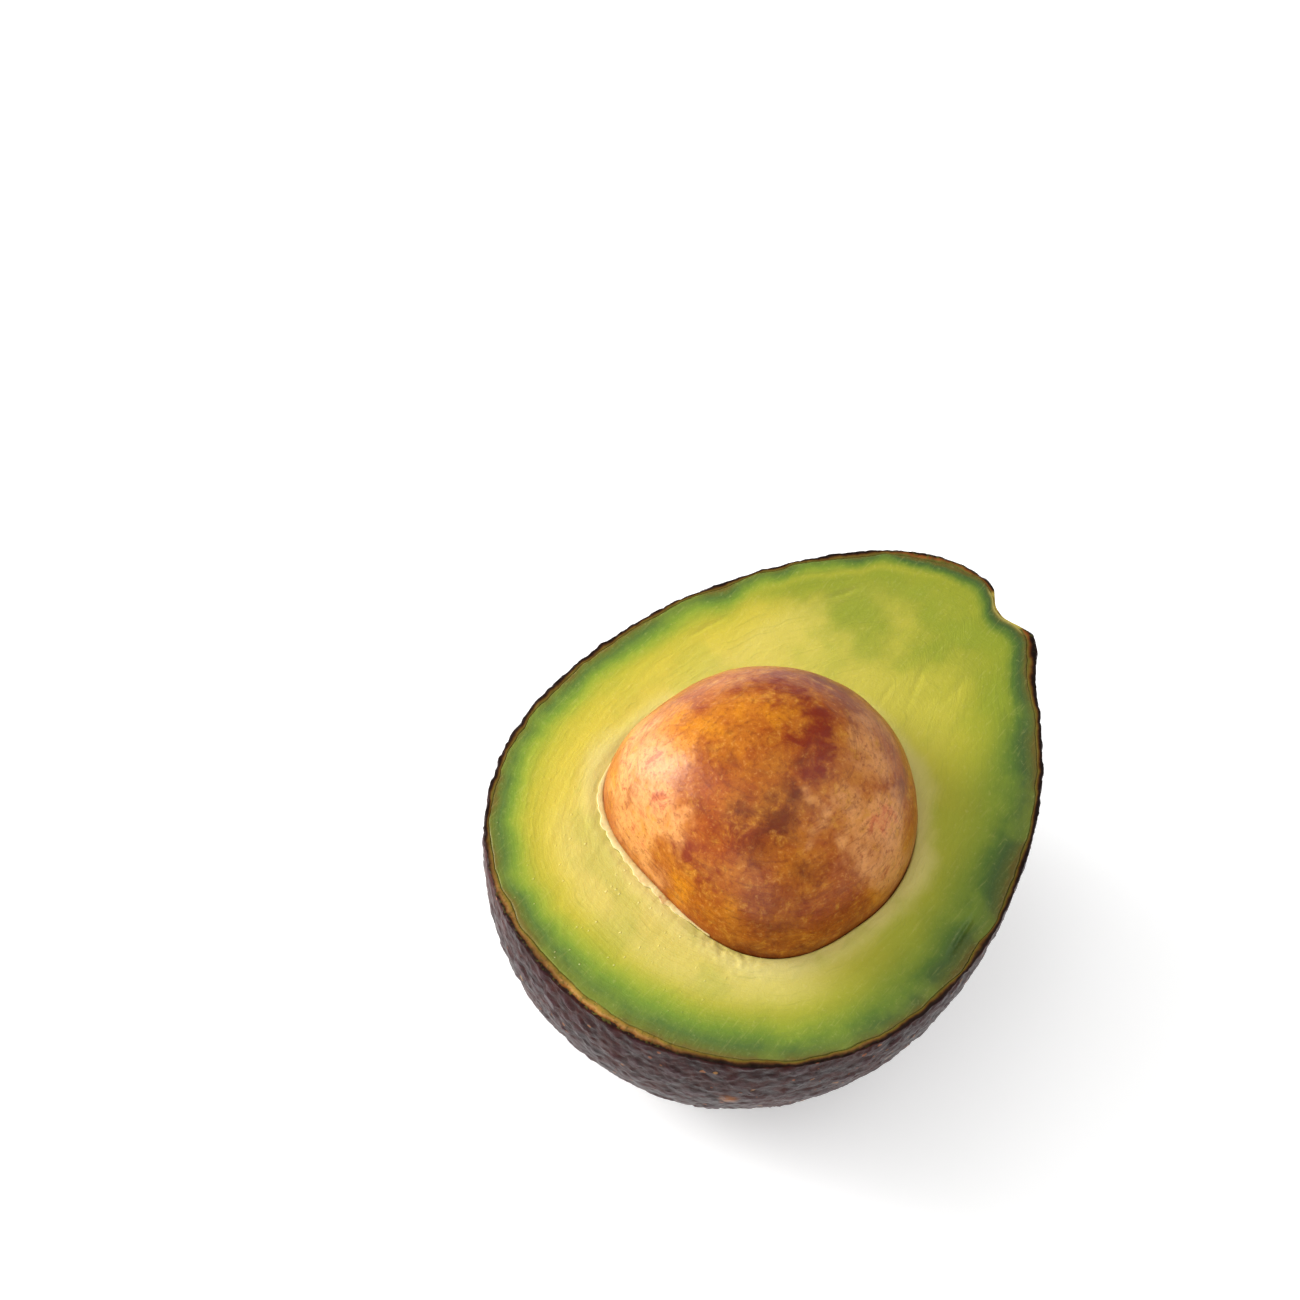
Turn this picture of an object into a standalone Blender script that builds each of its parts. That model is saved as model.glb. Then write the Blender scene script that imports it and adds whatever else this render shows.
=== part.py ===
"""Half of a ripe avocado, cut lengthways with its seed still in it, lying on its back.

Four pieces: the skin, the flesh, the seed, and the cap of seed coat that clings to the seed's flat base.
Metres, +Z up. +X points to the stem end. The origin is the centre of the small flat spot it rests on.
"""

import math

import bpy
from mathutils import Matrix, Vector

# The fruit, as it was before it was cut
FRUIT_LENGTH = 0.0900  # stem end to blossom end
FRUIT_WIDTH = 0.0676  # at its widest
HALF_DEPTH = 0.0378  # cut face to the back of a round, unpressed half
STEM_TAPER = 0.23  # how much slimmer the stem half is than the blossom half
END_TAPER = 0.03  # how much both ends are drawn in
STEM_POINT = 0.02  # how much of the taper sits right at the stem
SKIN_THICKNESS = 0.0010
REST_FLAT_DEPTH = 0.0007  # how far the back is pressed flat where it lies

# The scar where the stem came away: a round dimple that the skin doesn't cover
SCAR_RADIUS = 0.0058  # of the ball that shapes it
SCAR_DEPTH = 0.0023  # below the skin's line
SCAR_OFFSET = -0.0066  # to the side of the long axis

# The seed: an ovoid turned about its own axis, with a flattened base
SEED_RADIUS = 0.0197
SEED_TIP_LENGTH = 0.0208  # middle to the tip that points at the stem
SEED_BASE_LENGTH = 0.0181  # middle to the flat base
SEED_BASE_FULLNESS = 2.9  # 2 is an ellipse, and more is squarer
SEED_FORWARD = -0.0073  # middle of the seed, from the middle of the fruit's length
SEED_TURN = math.radians(-14.0)  # its tip leans to one side of the stem

# The seed coat, a thin cap on the seed's base
COAT_THICKNESS = 0.0008
COAT_REACH = 0.0090  # how far it reaches round from the end of the base

CLEARANCE = 0.0003  # between touching pieces

# Smoothness of the turned surfaces
FRUIT_PROFILE_STEPS = 30
FRUIT_TURN_STEPS = 48
SEED_PROFILE_STEPS = 20
SEED_TURN_STEPS = 36
SCAR_TURN_STEPS = 24
SCAR_PROFILE_STEPS = 14

CUTTER_MARGIN = 0.020  # how far the knife and the bench reach past the fruit
SEARCH_STEPS = 3600  # trial angles along the outline, when a place on it is looked for
SLOPE_STEP = 1e-3  # radians either side of a place, to read the outline's slope there
WELD_DISTANCE = 1e-5  # joins the turned profile to itself, at its seam and its poles

CUT_HEIGHT = HALF_DEPTH - REST_FLAT_DEPTH  # the cut face, above the resting spot


def taper(cosine):
    """Share of the plain oval's radius left at this place along the fruit: cosine is 1 at the stem."""
    return 1.0 - STEM_TAPER * cosine - END_TAPER * cosine**2 - STEM_POINT * cosine**3


def trial_angles(last):
    return [last * step / SEARCH_STEPS for step in range(SEARCH_STEPS + 1)]


# Where the fruit is widest: the angle from the stem, the share of the plain oval's radius, and the place
FULLEST_ANGLE = max(trial_angles(math.pi), key=lambda angle: math.sin(angle) * taper(math.cos(angle)))
FULLEST_SHARE = math.sin(FULLEST_ANGLE) * taper(math.cos(FULLEST_ANGLE))
FULLEST_AT = 0.5 * FRUIT_LENGTH * math.cos(FULLEST_ANGLE)  # from the middle of the length
FRUIT_CENTRE = Vector((-FULLEST_AT, 0.0, CUT_HEIGHT))
SEED_CENTRE = FRUIT_CENTRE + Vector((SEED_FORWARD, 0.0, 0.0))


def fruit_point(angle):
    """(radius, height) on the fruit's outline, with the stem at the top."""
    cosine = math.cos(angle)
    radius = 0.5 * FRUIT_WIDTH / FULLEST_SHARE * math.sin(angle) * taper(cosine)
    return radius, 0.5 * FRUIT_LENGTH * cosine


def seed_point(angle):
    """(radius, height) on the seed's outline, with its tip at the top."""
    cosine, sine = math.cos(angle), math.sin(angle)
    if cosine >= 0.0:
        return SEED_RADIUS * sine, SEED_TIP_LENGTH * cosine
    power = 2.0 / SEED_BASE_FULLNESS
    return SEED_RADIUS * sine**power, -SEED_BASE_LENGTH * abs(cosine) ** power


def outward_normal(point_at, angle):
    """The outline's outward direction there, as (radius, height)."""
    before, after = point_at(angle - SLOPE_STEP), point_at(angle + SLOPE_STEP)
    along = Vector((after[0] - before[0], after[1] - before[1])).normalized()
    return Vector((-along.y, along.x))


def offset_profile(point_at, steps, outward):
    """The outline's points from top to bottom, moved outward along its normal, with both ends on the axis."""
    profile = []
    for step in range(1, steps):
        angle = math.pi * step / steps
        radius, height = Vector(point_at(angle)) + outward_normal(point_at, angle) * outward
        profile.append((radius, height))
    top = (0.0, point_at(0.0)[1] + outward)
    bottom = (0.0, point_at(math.pi)[1] - outward)
    return [top] + profile + [bottom]


def make_collection(name):
    collection = bpy.data.collections.new(name)
    bpy.context.scene.collection.children.link(collection)
    return collection


def turned(name, profile, turn_steps, collection):
    """A solid turned about local Z from (radius, height) points given top to bottom."""
    mesh = bpy.data.meshes.new(name)
    points = [(radius, 0.0, height) for radius, height in profile]
    edges = [(index, index + 1) for index in range(len(points) - 1)]
    mesh.from_pydata(points, edges, [])
    piece = bpy.data.objects.new(name, mesh)
    collection.objects.link(piece)
    screw = piece.modifiers.new("turn", "SCREW")
    screw.axis = "Z"
    screw.steps = turn_steps
    screw.render_steps = turn_steps
    screw.use_merge_vertices = True
    screw.merge_threshold = WELD_DISTANCE
    screw.use_smooth_shade = True
    return piece


def turned_fruit(name, inset, collection):
    """The whole fruit's form, this far in from its skin, lying with its stem towards +X."""
    profile = offset_profile(fruit_point, FRUIT_PROFILE_STEPS, -inset)
    piece = turned(name, profile, FRUIT_TURN_STEPS, collection)
    deepening = (HALF_DEPTH - inset) / (0.5 * FRUIT_WIDTH - inset)
    piece.scale = (deepening, 1.0, 1.0)
    piece.rotation_euler = (0.0, 0.5 * math.pi, 0.0)
    piece.location = FRUIT_CENTRE
    return piece


def turned_seed(name, outward, collection):
    """The seed's form, this far out from its surface, lying with its tip towards the stem."""
    profile = offset_profile(seed_point, SEED_PROFILE_STEPS, outward)
    piece = turned(name, profile, SEED_TURN_STEPS, collection)
    piece.rotation_euler = (0.0, 0.5 * math.pi, SEED_TURN)
    piece.location = SEED_CENTRE
    return piece


def box(name, lowest, highest, collection):
    """A block between two corners."""
    bpy.ops.mesh.primitive_cube_add(size=1.0)
    block = bpy.context.active_object
    block.name = name
    low, high = Vector(lowest), Vector(highest)
    sides = Matrix.Diagonal(high - low).to_4x4()
    block.data.transform(Matrix.Translation((low + high) / 2.0) @ sides)
    move_to(block, collection)
    return block


def move_to(piece, collection):
    for owner in list(piece.users_collection):
        owner.objects.unlink(piece)
    collection.objects.link(piece)


def hide(helper):
    helper.hide_render = True
    helper.display_type = "WIRE"
    return helper


def cut(piece, cutter, operation="DIFFERENCE"):
    boolean = piece.modifiers.new(cutter.name, "BOOLEAN")
    boolean.operation = operation
    boolean.object = cutter
    boolean.solver = "EXACT"


def bench(name, height, cutters):
    """A block that presses the fruit's back flat at this height."""
    reach = 0.5 * FRUIT_LENGTH + CUTTER_MARGIN
    side = 0.5 * FRUIT_WIDTH + CUTTER_MARGIN
    low = (FRUIT_CENTRE.x - reach, -side, height - CUTTER_MARGIN)
    high = (FRUIT_CENTRE.x + reach, side, height)
    return hide(box(name, low, high, cutters))


def knife(cutters):
    """A block that takes away the other half of the fruit."""
    reach = 0.5 * FRUIT_LENGTH + CUTTER_MARGIN
    side = 0.5 * FRUIT_WIDTH + CUTTER_MARGIN
    low = (FRUIT_CENTRE.x - reach, -side, CUT_HEIGHT)
    high = (FRUIT_CENTRE.x + reach, side, CUT_HEIGHT + HALF_DEPTH + CUTTER_MARGIN)
    return hide(box("knife", low, high, cutters))


def scar_cutter(cutters):
    """A ball that dimples the stem end where the skin's outline is SCAR_OFFSET from the axis."""
    stem_half = trial_angles(0.5 * math.pi)
    angle = min(stem_half, key=lambda trial: abs(fruit_point(trial)[0] - abs(SCAR_OFFSET)))
    normal = outward_normal(fruit_point, angle)
    radius, height = Vector(fruit_point(angle)) + normal * (SCAR_RADIUS - SCAR_DEPTH)
    bpy.ops.mesh.primitive_uv_sphere_add(
        segments=SCAR_TURN_STEPS, ring_count=SCAR_PROFILE_STEPS, radius=SCAR_RADIUS
    )
    ball = bpy.context.active_object
    ball.name = "stem_scar_ball"
    ball.location = FRUIT_CENTRE + Vector((height, math.copysign(radius, SCAR_OFFSET), 0.0))
    move_to(ball, cutters)
    return hide(ball)


def material(name, colour, roughness):
    """A plain Principled surface; colour is linear RGB."""
    made = bpy.data.materials.new(name)
    made.use_nodes = True
    shader = made.node_tree.nodes["Principled BSDF"]
    shader.inputs["Base Color"].default_value = (*colour, 1.0)
    shader.inputs["Roughness"].default_value = roughness
    shader.inputs["Metallic"].default_value = 0.0
    return made


def build_skin(parts, cutters, blade, scar):
    """The peel: the outer form less the inner one, halved, open at the stem scar."""
    skin = turned_fruit("skin", 0.0, parts)
    inside = hide(turned_fruit("skin_inside", SKIN_THICKNESS, cutters))
    cut(inside, bench("inside_bench", SKIN_THICKNESS, cutters))
    cut(skin, bench("skin_bench", 0.0, cutters))
    cut(skin, inside)
    cut(skin, blade)
    cut(skin, scar)
    skin.data.materials.append(material("skin", (0.030, 0.020, 0.025), 0.45))
    return skin


def build_flesh(parts, cutters, blade, scar):
    """The flesh: it fills the skin, with a hollow for the seed and the coat on its base."""
    inset = SKIN_THICKNESS + CLEARANCE
    flesh = turned_fruit("flesh", inset, parts)
    seed_hollow = hide(turned_seed("seed_hollow", CLEARANCE, cutters))
    coat_room = 2.0 * CLEARANCE + COAT_THICKNESS
    coat_hollow = coat_form("coat_hollow", coat_room, CLEARANCE, cutters)
    cut(flesh, bench("flesh_bench", inset, cutters))
    cut(flesh, blade)
    cut(flesh, seed_hollow)
    cut(flesh, coat_hollow)
    cut(flesh, scar)
    flesh.data.materials.append(material("flesh", (0.58, 0.56, 0.11), 0.40))
    return flesh


def coat_form(name, outward, past_edge, cutters):
    """The seed's form grown outward, kept only near the base: past_edge takes it further round."""
    form = turned_seed(name, outward, cutters)
    reach = SEED_RADIUS + SEED_TIP_LENGTH + CUTTER_MARGIN
    kept_to = -SEED_BASE_LENGTH + COAT_REACH + past_edge
    front = box(name + "_front", (kept_to, -reach, -reach), (reach, reach, reach), cutters)
    front.rotation_euler = (0.0, 0.0, SEED_TURN)
    front.location = SEED_CENTRE
    cut(form, hide(front))
    return hide(form)


def build_coat(parts, cutters, blade):
    """The seed coat's cap: a thin shell between the seed's base and the flesh, cut level with it."""
    coat = coat_form("seed_coat", CLEARANCE + COAT_THICKNESS, 0.0, cutters)
    inside = hide(turned_seed("coat_inside", CLEARANCE, cutters))
    cut(coat, inside)
    cut(coat, blade)
    coat.hide_render = False
    coat.display_type = "TEXTURED"
    move_to(coat, parts)
    coat.data.materials.append(material("seed_coat", (0.72, 0.55, 0.30), 0.60))
    return coat


def build_seed(parts):
    """The seed: one whole piece, half of it standing out of the cut face."""
    seed = turned_seed("seed", 0.0, parts)
    seed.data.materials.append(material("seed", (0.42, 0.16, 0.04), 0.38))
    return seed


def build():
    for leftover in list(bpy.data.objects):
        bpy.data.objects.remove(leftover, do_unlink=True)
    parts = make_collection("avocado_half")
    cutters = make_collection("cutters")
    blade = knife(cutters)
    scar = scar_cutter(cutters)
    build_skin(parts, cutters, blade, scar)
    build_flesh(parts, cutters, blade, scar)
    build_coat(parts, cutters, blade)
    build_seed(parts)


build()
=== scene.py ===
"""A ripe avocado half with its seed still in it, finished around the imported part.

Four pieces stand for the part's four nodes: the thin pebbled skin, the buttery flesh, the seed, and the torn
seed coat along the seed's flat base. Metres, +Z up, +X to the stem end, and the cut face lies level.
"""

import math

import bpy
import numpy as np
from mathutils import Matrix, Vector, kdtree, noise


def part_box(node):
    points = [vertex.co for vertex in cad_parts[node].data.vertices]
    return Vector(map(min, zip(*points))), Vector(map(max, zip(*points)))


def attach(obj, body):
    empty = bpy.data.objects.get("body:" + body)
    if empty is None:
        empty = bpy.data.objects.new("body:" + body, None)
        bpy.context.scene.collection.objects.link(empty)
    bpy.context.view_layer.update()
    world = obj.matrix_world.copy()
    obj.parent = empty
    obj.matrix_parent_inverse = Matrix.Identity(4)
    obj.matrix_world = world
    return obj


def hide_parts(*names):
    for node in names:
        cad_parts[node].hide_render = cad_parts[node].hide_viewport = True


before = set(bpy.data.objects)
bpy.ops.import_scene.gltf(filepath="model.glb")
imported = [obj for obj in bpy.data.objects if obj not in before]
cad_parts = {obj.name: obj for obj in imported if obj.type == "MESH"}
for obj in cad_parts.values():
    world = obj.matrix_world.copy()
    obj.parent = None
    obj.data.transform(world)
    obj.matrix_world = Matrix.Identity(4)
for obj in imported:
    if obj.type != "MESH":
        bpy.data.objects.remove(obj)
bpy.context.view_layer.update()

MM = 0.001

# ---------------------------------------------------------------------------------------------------------
# The fruit's form, worked out from the frame and from the part's own shares
# ---------------------------------------------------------------------------------------------------------
STEM_TAPER = 0.23  # how much slimmer the stem half is than the blossom half
END_TAPER = 0.03  # how much both ends are drawn in
STEM_POINT = 0.02  # how much of the taper sits right at the stem
SKIN_THICKNESS = 1.0 * MM
REST_FLAT_DEPTH = 0.7 * MM  # how far the back is pressed flat where it lies
CONTACT_GAP = 0.06 * MM  # between touching pieces

SKIN_LOW, SKIN_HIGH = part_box("skin")
FRUIT_LENGTH = SKIN_HIGH.x - SKIN_LOW.x
FRUIT_WIDTH = SKIN_HIGH.y - SKIN_LOW.y
CUT_HEIGHT = SKIN_HIGH.z
HALF_DEPTH = CUT_HEIGHT + REST_FLAT_DEPTH
FRUIT_CENTRE = np.array([0.5 * (SKIN_LOW.x + SKIN_HIGH.x), 0.0, CUT_HEIGHT])

# The scar where the stem came away, an uneven dimple on the cut's edge
SCAR_SIDE = -7.6 * MM  # from the long axis
SCAR_DEPTH = 1.7 * MM
SCAR_STEEP_REACH = 4.2 * MM  # from its middle to its lip, on the steep side
SCAR_GENTLE_REACH = 4.0 * MM  # and on the gentle side
SCAR_LIP = 0.20 * MM  # how far the lip stands proud

# One shoulder beside the scar is fuller than the other
SHOULDER_AT = np.array([39.8, -12.6, -1.5]) * MM  # from the fruit's centre
SHOULDER_REACH = 3.8 * MM
SHOULDER_RISE = 1.5 * MM

# The slow swells that keep the whole fruit from being a perfect form
SWAY_HEIGHT = 0.35 * MM
SWAY_SIZE = 26.0 * MM

# The seed, turned about its own axis, with a flattened base
SEED_LOW, SEED_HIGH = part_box("seed")
SEED_RADIUS = 0.5 * (SEED_HIGH.z - SEED_LOW.z)
SEED_TIP_LENGTH = 20.8 * MM
SEED_BASE_LENGTH = 18.1 * MM
SEED_BASE_FULLNESS = 2.9  # 2 is an ellipse, and more is squarer
SEED_FORWARD = -7.3 * MM  # from the middle of the fruit's length
SEED_TURN = math.radians(-14.0)
SEED_CENTRE = FRUIT_CENTRE + np.array([SEED_FORWARD, 0.0, 0.0])

# Smoothness: vertices around each ball, and rings of them along its stretches
SKIN_AROUND = 600
SKIN_INSIDE_RINGS = 12
SKIN_LIP_RINGS = 8
SKIN_OUTSIDE_RINGS = 120
FLESH_AROUND = 512
FLESH_HOLLOW_RINGS = 16
FLESH_LIP_RINGS = 4
FLESH_FACE_RINGS = 112
FLESH_EDGE_RINGS = 3
FLESH_BACK_RINGS = 16
SEED_AROUND = 320
SEED_RINGS = 220
COAT_ALONG = 220
COAT_DOWN = 24
OUTLINE_POINTS = 1440

RANDOM_SEED = 7


def taper(cosine):
    return 1.0 - STEM_TAPER * cosine - END_TAPER * cosine**2 - STEM_POINT * cosine**3


def taper_slope(cosine):
    return -STEM_TAPER - 2.0 * END_TAPER * cosine - 3.0 * STEM_POINT * cosine**2


LENGTHWAYS = np.linspace(0.0, math.pi, OUTLINE_POINTS)
FULLEST_SHARE = float(np.max(np.sin(LENGTHWAYS) * taper(np.cos(LENGTHWAYS))))
HALF_LENGTH = 0.5 * FRUIT_LENGTH
SIDE_REACH = 0.5 * FRUIT_WIDTH / FULLEST_SHARE
DOWN_REACH = HALF_DEPTH / FULLEST_SHARE


def smooth(low, high, values):
    """0 below low, 1 above high, and a soft step between."""
    share = np.clip((values - low) / (high - low), 0.0, 1.0)
    return share * share * (3.0 - 2.0 * share)


def lobe(angles, centre, reach):
    """1 at this angle, fading to 0 past twice the reach; both in degrees, and the angles in radians."""
    away = (np.degrees(angles) - centre + 180.0) % 360.0 - 180.0
    return np.exp(-((away / reach) ** 2))


def lobes(angles, table):
    """The sum of several lobes, each with its angle and reach in degrees and its strength."""
    return sum(strength * lobe(angles, centre, reach) for centre, reach, strength in table)


def wander(points, size, offset=0.0, depth=2):
    """Smooth noise from about -1 to 1 at points in metres, with lumps of this size."""
    scaled = np.asarray(points) / size + offset
    return np.array([noise.fractal(Vector(point), 1.0, 2.0, depth) for point in scaled.tolist()])


def unit(vectors):
    return vectors / np.linalg.norm(vectors, axis=1, keepdims=True)


def bowl_directions(around, drop):
    """Directions from the cut plane down: drop is 0 straight down and a quarter turn at the cut."""
    level = np.sin(drop)
    return np.stack([np.cos(around) * level, np.sin(around) * level, -np.cos(drop)], axis=1)


def fruit_form(directions):
    """The plain fruit's surface, from its centre, for each unit direction of the ball it comes from."""
    slim = taper(directions[:, 0])
    return np.stack(
        [
            HALF_LENGTH * directions[:, 0],
            SIDE_REACH * slim * directions[:, 1],
            DOWN_REACH * slim * directions[:, 2],
        ],
        axis=1,
    )


def fruit_normals(directions):
    """Outward normals of fruit_form."""
    cosine = directions[:, 0]
    slim = taper(cosine)
    round_share = 1.0 - cosine**2
    return unit(
        np.stack(
            [
                (cosine - round_share * taper_slope(cosine) / slim) / HALF_LENGTH,
                directions[:, 1] / (SIDE_REACH * slim),
                directions[:, 2] / (DOWN_REACH * slim),
            ],
            axis=1,
        )
    )


def scar_middle():
    """Where the stem sat: the place on the cut's outline that is SCAR_SIDE from the long axis."""
    turn = np.linspace(-0.5 * math.pi, 0.5 * math.pi, OUTLINE_POINTS)
    outline = fruit_form(np.stack([np.cos(turn), np.sin(turn), np.zeros_like(turn)], axis=1))
    return outline[np.argmin(np.abs(outline[:, 1] - SCAR_SIDE))]


SCAR_AT = scar_middle()


def scar_share(form):
    """1 in the middle of the stem scar, 0 at its lip, and below 0 past it."""
    away = form - SCAR_AT
    reach = np.where(away[:, 1] > 0.0, SCAR_STEEP_REACH, SCAR_GENTLE_REACH)
    return 1.0 - np.linalg.norm(away, axis=1) / reach


def swelling(form):
    """How far the fruit's surface stands out from the plain form: the shoulder, the scar and its lip."""
    from_shoulder = np.linalg.norm(form - SHOULDER_AT, axis=1) / SHOULDER_REACH
    share = scar_share(form)
    pit = SCAR_DEPTH * smooth(-0.15, 0.85, share)
    lip = SCAR_LIP * np.exp(-((share + 0.3) / 0.3) ** 2)
    sway = SWAY_HEIGHT * wander(form, SWAY_SIZE, 4.7)
    return SHOULDER_RISE * np.exp(-(from_shoulder**2)) - pit + lip + sway


def fruit_surface(directions, outward):
    """The fruit's surface in the row frame, moved outward by this much."""
    form = fruit_form(directions)
    normals = fruit_normals(directions)
    points = FRUIT_CENTRE + form + normals * (swelling(form) + outward)[:, None]
    return points


# Shares of the skin's thickness, and where more is added: direction from the fruit's centre, reach, how much
PLAIN_PEEL = 0.66
THICK_PEEL = [(175.0, 22.0, 0.80), (340.0, 12.0, 0.60), (12.0, 12.0, 0.40)]
UNEVEN_PEEL = 0.38
THINNEST_PEEL = 0.30


def peel_thickness(directions):
    """The skin is thicker by the blossom end and beside the stem scar, and thin in the scar itself."""
    form = fruit_form(directions)
    around = np.arctan2(form[:, 1], form[:, 0])
    share = PLAIN_PEEL + lobes(around, THICK_PEEL) + UNEVEN_PEEL * wander(form, 4.5 * MM, 9.1, 3)
    share = np.maximum(share, THINNEST_PEEL)
    share *= 1.0 - 0.75 * smooth(-0.1, 0.4, scar_share(form))
    return SKIN_THICKNESS * share


def seed_form(directions, outward=0.0):
    """The seed's surface in the row frame; directions are the seed's own, with its tip towards +X."""
    cosine = directions[:, 0]
    sine = np.maximum(np.hypot(directions[:, 1], directions[:, 2]), 1e-9)
    power = np.where(cosine >= 0.0, 1.0, 2.0 / SEED_BASE_FULLNESS)
    length = np.where(cosine >= 0.0, SEED_TIP_LENGTH, SEED_BASE_LENGTH) + outward
    along = np.sign(cosine) * length * np.abs(cosine) ** power
    radius = (SEED_RADIUS + outward) * sine**power
    aside = radius * directions[:, 1] / sine
    above = radius * directions[:, 2] / sine
    turn_cos, turn_sin = math.cos(SEED_TURN), math.sin(SEED_TURN)
    return SEED_CENTRE + np.stack(
        [along * turn_cos - aside * turn_sin, along * turn_sin + aside * turn_cos, above], axis=1
    )


def level_outline(surface, *arguments):
    """Where a surface meets the cut plane, as a table from the seed's centre: bearing, reach, own turn."""
    turn = np.linspace(-math.pi, math.pi, OUTLINE_POINTS, endpoint=False)
    ring = np.stack([np.cos(turn), np.sin(turn), np.zeros_like(turn)], axis=1)
    away = surface(ring, *[argument(ring) for argument in arguments]) - SEED_CENTRE
    bearing = np.arctan2(away[:, 1], away[:, 0])
    order = np.argsort(bearing)
    return bearing[order], np.hypot(away[:, 0], away[:, 1])[order], turn[order]


def read_outline(table, bearings):
    """Distance and own turn of an outline at these directions from the seed's centre."""
    bearing, distance, turn = table
    full = 2.0 * math.pi
    cosine = np.interp(bearings, bearing, np.cos(turn), period=full)
    sine = np.interp(bearings, bearing, np.sin(turn), period=full)
    return np.interp(bearings, bearing, distance, period=full), np.arctan2(sine, cosine)


# ---------------------------------------------------------------------------------------------------------
# Pieces
# ---------------------------------------------------------------------------------------------------------
def deselect_all():
    for thing in bpy.context.selected_objects:
        thing.select_set(False)


def points_of(piece):
    flat = np.empty(3 * len(piece.data.vertices))
    piece.data.vertices.foreach_get("co", flat)
    return flat.reshape(-1, 3)


def move_points(piece, points):
    piece.data.vertices.foreach_set("co", np.asarray(points).ravel())
    piece.data.update()


def paint(piece, name, values):
    """Stores one number for each vertex, for the material to read."""
    layer = piece.data.attributes.new(name, "FLOAT", "POINT")
    layer.data.foreach_set("value", np.asarray(values, dtype=np.float32))


def ball(name, around, rings):
    """A ball to be pushed into shape, with each vertex's ring, counted from the top, and its turn around."""
    deselect_all()
    bpy.ops.mesh.primitive_uv_sphere_add(segments=around, ring_count=rings, radius=1.0)
    piece = bpy.context.active_object
    piece.name = name
    points = points_of(piece)
    ring = np.rint(np.arccos(np.clip(points[:, 2], -1.0, 1.0)) / math.pi * rings)
    return piece, ring, np.arctan2(points[:, 1], points[:, 0])


def finish_piece(piece, surface, node):
    """Shades it smooth, gives it its material and its body, and hides the imported part of the node it
    stands for.
    """
    deselect_all()
    piece.select_set(True)
    bpy.context.view_layer.objects.active = piece
    bpy.ops.object.shade_smooth()
    piece.data.materials.append(surface)
    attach(piece, "root")
    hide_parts(node)
    deselect_all()


def spread_over_fruit(count, jitter, generator):
    """Places spread evenly over the whole fruit and then shaken, from its centre."""
    steps = np.arange(count) + 0.5
    height = 1.0 - 2.0 * steps / count
    turn = math.pi * (1.0 + math.sqrt(5.0)) * steps
    level = np.sqrt(1.0 - height**2)
    directions = np.stack([np.cos(turn) * level, np.sin(turn) * level, height], axis=1)
    spacing = math.sqrt(4.0 * math.pi / count)
    return fruit_form(unit(directions + jitter * spacing * generator.normal(size=directions.shape)))


def nearest_two(places, points):
    """Distances to each point's nearest two places, and which place is nearest."""
    tree = kdtree.KDTree(len(places))
    for index, place in enumerate(places.tolist()):
        tree.insert(place, index)
    tree.balance()
    found = [tree.find_n(point, 2) for point in points.tolist()]
    first = np.array([pair[0][2] for pair in found])
    second = np.array([pair[1][2] for pair in found])
    return first, second, np.array([pair[0][1] for pair in found])


PEBBLE_COUNT = 3000  # over the whole fruit, which sets them about 2.5 mm apart
PEBBLE_EDGE = 1.1 * MM  # from the groove between two pebbles to where their tops begin
PEBBLE_HEIGHT = 0.24 * MM
PEBBLE_SHAKE = 0.36  # how far each is off its even place, as a share of their spacing
PIMPLE_COUNT = 15000  # a finer set between and on the pebbles, about 1.1 mm apart
PIMPLE_EDGE = 0.5 * MM
PIMPLE_HEIGHT = 0.08 * MM
PIMPLE_SHAKE = 0.45
RIPPLE_HEIGHT = 0.16 * MM  # the shallow folds that run lengthways
RIPPLE_SIZE = 2.2 * MM
RIPPLE_STRETCH = 2.6
BLEMISH_AT = np.array([-38.0, -17.0, -11.0]) * MM  # a corky scuff low on the blossom end, from the centre
BLEMISH_REACH = 2.2 * MM
RIM_ROUNDING = 0.20 * MM  # how far the cut edge rolls over to the outside
RIM_UNEVEN = 0.06 * MM


def pebbles(form):
    """Height of the skin's pebbled relief, in metres, and how much of a pebble's top each point is on."""
    generator = np.random.default_rng(RANDOM_SEED)
    places = spread_over_fruit(PEBBLE_COUNT, PEBBLE_SHAKE, generator)
    warped = form + 0.7 * MM * np.stack([wander(form, 3.5 * MM, 3.0 * axis) for axis in (1, 2, 3)], axis=1)
    first, second, which = nearest_two(places, warped)
    top = smooth(0.0, PEBBLE_EDGE, second - first)
    own = generator.uniform(0.35, 1.15, PEBBLE_COUNT)[which]
    bolder = 0.80 + 0.45 * wander(form, 14.0 * MM, 21.0)
    small = spread_over_fruit(PIMPLE_COUNT, PIMPLE_SHAKE, generator)
    first, second, _ = nearest_two(small, warped)
    pimples = smooth(0.0, PIMPLE_EDGE, second - first)
    ripples = wander(form / np.array([RIPPLE_STRETCH, 1.0, 1.0]), RIPPLE_SIZE, 31.0)
    relief = PEBBLE_HEIGHT * top * own * bolder + PIMPLE_HEIGHT * pimples + RIPPLE_HEIGHT * ripples
    return relief, top * own


# Where the cut peel shows its tan corky layer: direction from the fruit's centre, reach, how much
TAN_LEAST = 0.25
TAN_PEEL = [(174.0, 23.0, 0.85), (342.0, 12.0, 0.75), (12.0, 14.0, 0.65), (236.0, 26.0, 0.14)]


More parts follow.
